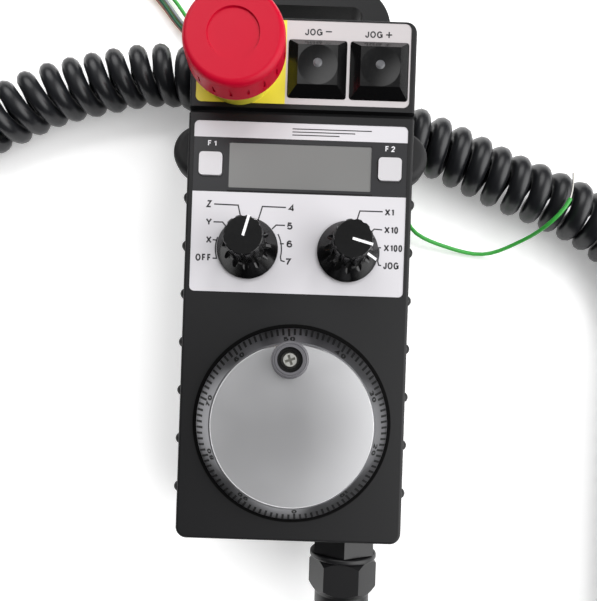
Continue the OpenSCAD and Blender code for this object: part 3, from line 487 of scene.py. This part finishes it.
def wind(axis_line, radius, pitch):
    """A spring round the line, with no bend at its ends tighter than in its turns."""
    full = radius / math.hypot(radius, pitch / math.tau)
    path = even_line(axis_line, FINE)
    count = len(path) - 1
    out, turn = [], 0.0
    for i, centre in enumerate(path):
        ahead = (path[min(i + 1, count)] - path[max(i - 1, 0)]).normalized()
        side = Vector((0, 0, 1)).cross(ahead).normalized()
        up = ahead.cross(side)
        near = min(i, count - i) * FINE
        slip = min(1.0, near / SHIFT)
        slip = slip * slip * (3 - 2 * slip)
        lean = full * min(1.0, max(0.0, near - SHIFT * 0.7) / BEND)
        turn += FINE * lean / math.sqrt(1 - lean * lean) / radius
        out.append(centre + radius * slip * (side * math.sin(turn) - up * math.cos(turn)))
    return even_line(out, COIL_STEP)

lead = even_line(smooth_line(lead_route, 12), LEAD_STEP)
coil = wind(smooth_line(coil_route, 16), SPRING_RADIUS, PITCH)
tail = even_line(smooth_line(tail_route, 12), TAIL_STEP)
cable_line = lead[:-1] + coil + tail[1:]

# %% [markdown]
# The jacket is polyurethane: nearly black, smooth, with a long soft highlight along each turn.

# %% Make the cable
def cord_curve(name, line, diameter, mat):
    data = bpy.data.curves.new(name, "CURVE")
    data.dimensions = "3D"
    data.bevel_depth = diameter / 2
    data.bevel_resolution = 4
    data.use_fill_caps = True
    spline = data.splines.new("POLY")
    spline.points.add(len(line) - 1)
    for point, co in zip(spline.points, line):
        point.co = (*co, 1)
    spline.use_smooth = True
    data.materials.append(mat)
    return add_object(name, data)

jacket = moulded("cable_jacket_polyurethane", "#1A1B1E", 0.3, 0.8, 0.12)
cable = cord_curve("curly_cable", cable_line, CABLE, jacket)
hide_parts("cord_lead", "curly_cord", "cord_tail")
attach(cable, "housing")
print("cable made")

# %% [markdown]
# The cores in the stripped end are PVC, a little glossier than the jacket and in their usual
# colours. One green core is longer: it runs under the head and comes out at the other side,
# where its last 12 mm are bare.

# %% Make the long green core
GREEN, STRAND, CORE = 1.9 * MM, 0.7 * MM, 1.7 * MM
GREEN_STEP, BARE_STEPS = 4 * MM, 3
green_route = [(-100, 173, 5), (-96, 173, 5), (-92, 173, 5), (-78, 167, 4), (-66, 155, 3),
               (-57, 142, 7), (-45, 127, 20), (-35, 113, 28.5), (-10, 96, 28.5),
               (20, 82, 28.5), (38.5, 74, 22), (50, 67.8, 6), (53, 57, 2), (58, 42, 5),
               (75, 35, 3), (95, 32, 2.5), (110, 37, 12), (117, 42, 24), (123, 50, 28.5),
               (125, 57, 28.5), (125, 64, 28.5)]
core_tin = metal("core_tinned_copper", "#C8C6C0", 0.25, 0.3, 0.1)

def core_pvc(name, hex_code):
    return moulded(name, hex_code, 0.32, 0.8, 0.08, 0.05)

green_line = even_line(smooth_line(green_route, 12), GREEN_STEP)
split = len(green_line) - BARE_STEPS
green_core = cord_curve("core_green_long", green_line[:split], GREEN,
                        core_pvc("core_pvc_green", "#3FAE45"))
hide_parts("core_green")
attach(green_core, "housing")
strand = cord_curve("core_green_strand", green_line[split - 1:], STRAND, core_tin)
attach(strand, "housing")
print("green core", round(line_length(green_line[:split]), 2), "m")

# %% [markdown]
# The four short cores lie in a loose twist round one route, and none of them sinks into the
# table. The twist is an angle in radians over a core's whole length.

# %% Make the short cores
TWIST = 1.5
CLEAR = 0.1 * MM
bundle_route = [(-100, 168.5, 5), (-96, 168.5, 5), (-92, 168.5, 5), (-80, 162, 3.5),
                (-71, 153, 3.2), (-62, 142, 3.2), (-50, 131, 3.2), (-38, 124, 3.2)]

def core_line(route, phase, radius):
    line = even_line(smooth_line(route, 12), 3 * MM)
    out = []
    for i, p in enumerate(line):
        ahead = (line[min(i + 1, len(line) - 1)] - line[max(i - 1, 0)]).normalized()
        side = Vector((0, 0, 1)).cross(ahead).normalized()
        angle = phase + i / (len(line) - 1) * TWIST
        lift = max(p.z + radius * math.sin(angle), CORE / 2 + CLEAR)
        out.append(Vector((p.x, p.y, 0)) + side * (radius * math.cos(angle))
                   + Vector((0, 0, lift)))
    return out

cores = [("grey", "#8E9196", 0.0), ("dark_green", "#1F5A3C", 1.4), ("pink", "#C98A80", 2.8),
         ("yellow", "#D8CF4A", 4.2)]
for colour, hex_code, phase in cores:
    line = core_line(bundle_route, phase, 1.5 * MM)
    piece = cord_curve("core_" + colour, line, CORE, core_pvc("core_pvc_" + colour, hex_code))
    if colour == "grey":
        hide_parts("core_bundle")
    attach(piece, "housing")
print("short cores", len(cores))

# %% [markdown]
# ## Prints
# Legends are screen printed in ink about 20 micrometres thick, so each print is a flat mesh
# just above its foil. Every line of it is a strip of one width, drawn with a pen.

# %% Inks and strokes
ink_dark = moulded("ink_dark_grey", "#29282C", 0.45, 0.4, 0.05, 0.02)
ink_white = moulded("ink_white", "#E8E7EA", 0.45, 0.4, 0.05, 0.02)
ink_black = moulded("ink_black", "#050506", 0.6, 0.4, 0.05, 0.02, 1.4)

def stroke(points, width):
    """A line of constant width through the points, as a flat strip in millimetres."""
    pts = [Vector((x, y)) for x, y in points]
    verts, faces = [], []
    for i, p in enumerate(pts):
        before = (p - pts[i - 1]).normalized() if i else (pts[1] - p).normalized()
        after = (pts[i + 1] - p).normalized() if i < len(pts) - 1 else before
        mean = (before + after).normalized()
        across = Vector((-mean.y, mean.x)) * (width / 2 / max(0.5, mean.dot(before)))
        verts += [tuple(p + across), tuple(p - across)]
    for i in range(len(pts) - 1):
        faces.append((2 * i, 2 * i + 1, 2 * i + 3, 2 * i + 2))
    return verts, faces

def bow(cx, cy, rx, ry, a0, a1, steps=12):
    """Part of an ellipse, from one angle to another, in degrees."""
    angles = [math.radians(a0 + (a1 - a0) * k / steps) for k in range(steps + 1)]
    return [(cx + rx * math.cos(a), cy + ry * math.sin(a)) for a in angles]

print("inks made")

# %% [markdown]
# The letters are plain grotesque capitals and numerals, as a screen printer cuts them. Each
# sign has a width, as a share of its height, and a few routes in a square of side one, which is
# stretched to that width and drawn with the pen above.

# %% Letters and numerals
SIGNS = {
    "0": (0.62, [bow(0.5, 0.5, 0.5, 0.5, 90, 450, 20)]),
    "1": (0.42, [[(0, 0.76), (1, 0.9)], [(1, 1), (1, 0)]]),
    "2": (0.62, [bow(0.5, 0.72, 0.5, 0.28, 175, -25) + [(0, 0), (1, 0)]]),
    "3": (0.62, [bow(0.5, 0.75, 0.45, 0.25, 160, -90) + bow(0.5, 0.25, 0.5, 0.25, 90, -160)]),
    "4": (0.66, [[(0.74, 0), (0.74, 1), (0, 0.3), (1, 0.3)]]),
    "5": (0.62, [[(0.92, 1), (0.2, 1)] + bow(0.5, 0.33, 0.5, 0.33, 148, -155)]),
    "6": (0.62, [bow(0.5, 0.5, 0.5, 0.5, 40, 200), bow(0.5, 0.3, 0.5, 0.3, 0, 360, 20)]),
    "7": (0.62, [[(0, 1), (1, 1), (0.6, 0.55), (0.32, 0)]]),
    "8": (0.62, [bow(0.5, 0.77, 0.42, 0.23, 0, 360, 16), bow(0.5, 0.27, 0.5, 0.27, 0, 360, 20)]),
    "9": (0.62, [bow(0.5, 0.5, 0.5, 0.5, -140, 20), bow(0.5, 0.7, 0.5, 0.3, 0, 360, 20)]),
    "F": (0.6, [[(0, 0), (0, 1), (1, 1)], [(0, 0.52), (0.86, 0.52)]]),
    "G": (0.8, [bow(0.5, 0.5, 0.5, 0.5, 38, 345, 18) + [(1, 0.48), (0.56, 0.48)],
                [(1, 0.48), (1, 0)]]),
    "J": (0.56, [[(1, 1)] + bow(0.5, 0.28, 0.5, 0.28, 0, -185)]),
    "O": (0.8, [bow(0.5, 0.5, 0.5, 0.5, 90, 450, 24)]),
    "X": (0.9, [[(0.03, 1), (0.97, 0)], [(0.97, 1), (0.03, 0)]]),
    "Y": (0.94, [[(0, 1), (0.5, 0.44), (1, 1)], [(0.5, 0.5), (0.5, 0)]]),
    "Z": (0.76, [[(0.05, 1), (1, 1), (0, 0), (1, 0)]]),
}

def join(parts):
    """Several (points, faces) as one."""
    verts, faces = [], []
    for part_verts, part_faces in parts:
        start = len(verts)
        verts += part_verts
        faces += [tuple(start + k for k in f) for f in part_faces]
    return verts, faces

def sign_mesh(words, cap, pen, squeeze=1.0, gap=0.17):
    """The signs as flat strips in millimetres, centred on 0, 0."""
    parts, x = [], 0.0
    for letter in words:
        wide, lines = SIGNS[letter]
        wide *= cap * squeeze
        parts += [stroke([(x + pen / 2 + px * (wide - pen),
                           pen / 2 + py * (cap - pen) - cap / 2) for px, py in line], pen)
                  for line in lines]
        x += wide + gap * cap
    middle = (x - gap * cap) / 2
    verts, faces = join(parts)
    return [(vx - middle, vy) for vx, vy in verts], faces

print("signs", len(SIGNS))

# %% [markdown]
# A print is one mesh at one height, and rides on the body that carries it. A word can be put
# by its left end, its right end or its middle.

# %% Lay a print
def print_piece(name, parts, height, mat, body="housing"):
    """One mesh, from parts that are already in place, in millimetres."""
    mesh = bpy.data.meshes.new(name)
    verts, faces = join(parts)
    mesh.from_pydata([(x * MM, y * MM, height * MM) for x, y in verts], [], faces)
    build = bmesh.new()
    build.from_mesh(mesh)
    bmesh.ops.recalc_face_normals(build, faces=build.faces)
    for face in build.faces:
        if face.normal.z < 0:
            face.normal_flip()
    build.to_mesh(mesh)
    build.free()
    mesh.materials.append(mat)
    piece = add_object(name, mesh)
    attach(piece, body)

def put(glyphs, x, y, align="centre"):
    verts, faces = glyphs
    xs = [v[0] for v in verts]
    if align == "left":
        x -= min(xs)
    if align == "right":
        x -= max(xs)
    return [(vx + x, vy + y) for vx, vy in verts], faces

LIFT, LOW_LIFT = 0.02, 0.01
lower_print = top_of("lower_label") / MM + LIFT
upper_print = top_of("upper_label") / MM + LIFT
print("foils at", round(lower_print, 1), "and", round(upper_print, 1), "mm")

# %% [markdown]
# Round each knob stand the names of its positions, with a thin leader from each name to the
# knob. The left knob picks an axis, the right one the step.

# %% Print the positions of the knobs
CAP, PEN, LEADER = 2.95, 0.62, 0.54
KNOB_X, KNOB_Y = 20.3, 17.8
legend = []
for words, x, y in (("Z", -35.3, 35.7), ("Y", -35.2, 28.4), ("X", -35.1, 21.1),
                    ("OFF", -35.3, 13.8)):
    legend.append(put(sign_mesh(words, CAP, PEN, 0.92), x, y, "right"))
for words, y in (("4", 35.1), ("5", 27.8), ("6", 20.5), ("7", 13.2)):
    legend.append(put(sign_mesh(words, CAP, PEN + 0.05, 1.3), -4.5, y - 0.1, "left"))
for words, y in (("X1", 34.6), ("X10", 27.4), ("X100", 20.05), ("JOG", 12.9)):
    legend.append(put(sign_mesh(words, CAP, PEN, 0.9, 0.1), 35.1, y, "left"))
left_arc = bow(-KNOB_X, KNOB_Y, 13.1, 13.1, 160, 190, 6) + [(-32.8, 13.6), (-34.4, 13.6)]
middle_arc = bow(-KNOB_X, KNOB_Y, 13.8, 13.8, 28, -12, 6) + [(-6.5, 13.5), (-5.0, 13.15)]
right_arc = bow(KNOB_X, KNOB_Y, 12.9, 12.9, 10, -14, 6) + [(33.3, 12.95), (34.3, 12.85)]
for route in (((-34.5, 35.65), (-24.7, 35.5), (-23.6, 31.0)),
              ((-34.5, 28.4), (-30.8, 28.4), (-29.0, 26.3)),
              ((-34.6, 21.1), (-33.0, 21.0)),
              ((-5.2, 35.2), (-14.8, 35.3), (-16.4, 29.6)),
              ((-5.4, 27.9), (-9.0, 27.9), (-10.6, 26.2)),
              ((-5.6, 20.4), (-7.2, 20.4)),
              ((34.2, 34.8), (24.9, 34.8), (23.7, 30.4)),
              ((34.2, 27.4), (31.0, 27.6), (29.8, 26.4)),
              ((34.0, 20.1), (32.8, 20.1)), left_arc, middle_arc, right_arc):
    legend.append(stroke(route, LEADER))
print_piece("legend_lower", legend, lower_print, ink_dark)
print("signs and leaders", len(legend))

# %% [markdown]
# The black band holds the names of the function keys, and its lower edge is blacker under the
# display. The white strip above the band has three plain stripes.

# %% Print the band and its stripes
low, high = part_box("lcd_window")
step = low.y / MM - BAND_LOW
print_piece("display_lower_step",
            [stroke([(low.x / MM + step / 2, BAND_LOW + step / 2),
                     (high.x / MM - step / 2, BAND_LOW + step / 2)], step - 0.1)],
            top_of("lower_label") / MM + LOW_LIFT, ink_black)
print_piece("legend_function_keys",
            [put(sign_mesh(words, 2.3, 0.42, 1.05, 0.42), x, 60.4)
             for words, x in (("F1", -36.1), ("F2", 36.4))],
            lower_print, ink_white)
print_piece("legend_stripes",
            [stroke(((-3.6, y), (x, y)), 0.42)
             for x, y in ((28.7, 67.3), (22.0, 66.05), (15.6, 64.8))],
            lower_print, ink_dark)
print("band printed")

# %% [markdown]
# The jog keys have their name and their sign, minus or plus, above them. Each knob's pointer
# runs on to the knob's middle as a short inlay.

# %% Print the jog signs and the pointers' roots
print_piece("legend_jog",
            [put(sign_mesh("JOG", 2.8, 0.56, 1.05, 0.14), x, y)
             for x, y in ((3.7, 106.95), (28.2, 106.75))]
            + [stroke(route, LEADER) for route in
               (((8.6, 107.3), (11.1, 107.3)), ((33.15, 106.8), (35.65, 106.8)),
                ((34.4, 105.55), (34.4, 108.05)))],
            upper_print, ink_dark)
for knob in ("axis", "rate"):
    middle = middle_of(knob + "_knob").xy / MM
    aim = (middle_of(knob + "_pointer").xy / MM - middle).normalized()
    print_piece(knob + "_pointer_root",
                [stroke([tuple(middle - aim * 0.3), tuple(middle + aim * 1.3)], 1.0)],
                top_of(knob + "_pointer") / MM + LOW_LIFT, pointer_white,
                knob + "_selector")
print("jog signs and pointers made")

# %% [markdown]
# ## Dial
# The dial is graduated in 100 steps, one for each pulse, with a number at every tenth. The
# marks lie on the slope of the ring, so each point is given an angle and a radius, and the
# slope gives its height. Marks at the tens and the fives reach farther in.

# %% Graduate the dial
WHEEL = Vector((0, -52.4))
REST = 3.5
R_LOW, Z_LOW, R_HIGH, Z_HIGH = 38.2, 58.6, 32.0, 68.0
MARK_OUT, MARK_HALF, MARK_STEP = 38.0, 0.44, 3.6
TEN_IN, FIVE_IN, ONE_IN = 34.5, 34.8, 35.1
NUMBER_CAP, NUMBER_PEN = 3.3, 0.75
NUMBER_ARC, NUMBER_MIDDLE, FORESHORTENED = 33.2, 33.3, 0.62
DIAL_LIFT = 0.04

def on_slope(angle, radius):
    t = (R_LOW - radius) / (R_LOW - R_HIGH)
    z = Z_LOW + (Z_HIGH - Z_LOW) * t
    slope = math.atan2(Z_HIGH - Z_LOW, R_LOW - R_HIGH)
    r = radius + DIAL_LIFT * math.sin(slope)
    z += DIAL_LIFT * math.cos(slope)
    return ((WHEEL.x - r * math.sin(angle)) * MM, (WHEEL.y + r * math.cos(angle)) * MM, z * MM)

parts = []
for k in range(100):
    angle = math.radians(REST + MARK_STEP * (k - 50))
    inner = TEN_IN if k % 10 == 0 else FIVE_IN if k % 5 == 0 else ONE_IN
    corners = ((MARK_OUT, 1), (MARK_OUT, -1), (inner, -1), (inner, 1))
    parts.append(([on_slope(angle + side * MARK_HALF / radius, radius)
                   for radius, side in corners], [(0, 1, 2, 3)]))
for k in range(10):
    angle = math.radians(REST + 10 * MARK_STEP * (k - 5))
    points, faces = sign_mesh(str(k * 10), NUMBER_CAP, NUMBER_PEN)
    parts.append(([on_slope(angle - x / NUMBER_ARC, NUMBER_MIDDLE + y * FORESHORTENED)
                   for x, y in points], faces))
verts, faces = join(parts)
mesh = bpy.data.meshes.new("dial_graduation")
mesh.from_pydata(verts, [], faces)
mesh.materials.append(ink_black)
graduation = add_object("dial_graduation", mesh)
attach(graduation, "wheel")
print("marks and numbers", len(parts))

# %% [markdown]
# ## Table and light
# The pendant lies on a plain pale table, four metres wide.

# %% Table
table_mesh = bpy.data.meshes.new("table")
table_mesh.from_pydata([(-2, -2, 0), (2, -2, 0), (2, 2, 0), (-2, 2, 0)], [], [(0, 1, 2, 3)])
table = add_object("table", table_mesh)
table_mat, _, table_bsdf = start_material("table_pale_paper")
table_bsdf.inputs["Base Color"].default_value = linear("#F8F8F8")
table_bsdf.inputs["Roughness"].default_value = 0.8
table_bsdf.inputs["Emission Color"].default_value = (1, 1, 1, 1)
table_bsdf.inputs["Emission Strength"].default_value = 0.3
table_mesh.materials.append(table_mat)
print("table made")

# %% [markdown]
# The room is dim and paler overhead, with two soft windows. The right one gives much of the
# light and brightens that side of the disc, the gland and the case. The one beyond the head
# gives the glow in the keys' dishes.

# %% Sky
world = bpy.data.worlds.new("studio")
world.use_nodes = True
sky = world.node_tree
place = add_node(sky, "ShaderNodeTexCoord")

def sky_ramp(direction, gain, stops):
    """Light by how near a point of the sky lies to a direction."""
    aim = add_node(sky, "ShaderNodeVectorMath",
                   {"operation": "DOT_PRODUCT", 1: Vector(direction).normalized()},
                   {0: place.outputs["Generated"]})
    ramp = add_node(sky, "ShaderNodeValToRGB", {}, {"Fac": aim.outputs["Value"]})
    ramp.color_ramp.interpolation = "EASE"
    for k, (height, level) in enumerate(stops):
        stop = ramp.color_ramp.elements[k] if k < 2 else ramp.color_ramp.elements.new(height)
        stop.position = height
        stop.color = (level, level, level, 1)
    scaled = add_node(sky, "ShaderNodeVectorMath", {"operation": "SCALE", "Scale": gain},
                      {0: ramp.outputs["Color"]})
    return scaled.outputs["Vector"]

total = sky_ramp((0, 0.3, 0.95), 0.36, ((0.1, 0.08), (0.5, 0.2), (0.85, 1.0)))
for direction, gain, stops in (((0.78, -0.1, 0.6), 3.5, ((0.66, 0.0), (0.97, 1.0))),
                               ((-0.27, 0.68, 0.68), 2.9, ((0.88, 0.0), (0.975, 1.0)))):
    both = add_node(sky, "ShaderNodeVectorMath", {"operation": "ADD"}, {0: total})
    sky.links.new(sky_ramp(direction, gain, stops), both.inputs[1])
    total = both.outputs["Vector"]
sky.links.new(total, sky.nodes["Background"].inputs["Color"])
sky.nodes["Background"].inputs["Strength"].default_value = 0.9
bpy.context.scene.world = world
bpy.context.scene.view_settings.view_transform = "Standard"
print("sky made")

# %% [markdown]
# Two wide lamps add light from above. They aren't mirrored in the polished pieces, whose
# highlights come from the sky.

# %% Lamps
def lamp(name, place, aim, size, power):
    data = bpy.data.lights.new(name, "AREA")
    data.shape = "DISK"
    data.size = size
    data.energy = power
    piece = add_object(name, data)
    piece.location = place
    piece.rotation_euler = (Vector(aim) - Vector(place)).to_track_quat("-Z", "Y").to_euler()
    piece.visible_glossy = False

lamp("key_lamp", (0.45, 0.8, 1.1), (0, 0, 0.05), 0.35, 3.8)
lamp("fill_lamp", (-0.8, 0.4, 1.0), (0, 0, 0.05), 0.5, 1.3)
print("lamps made")

# %% [markdown]

# %% Finish
print("scene dressed")
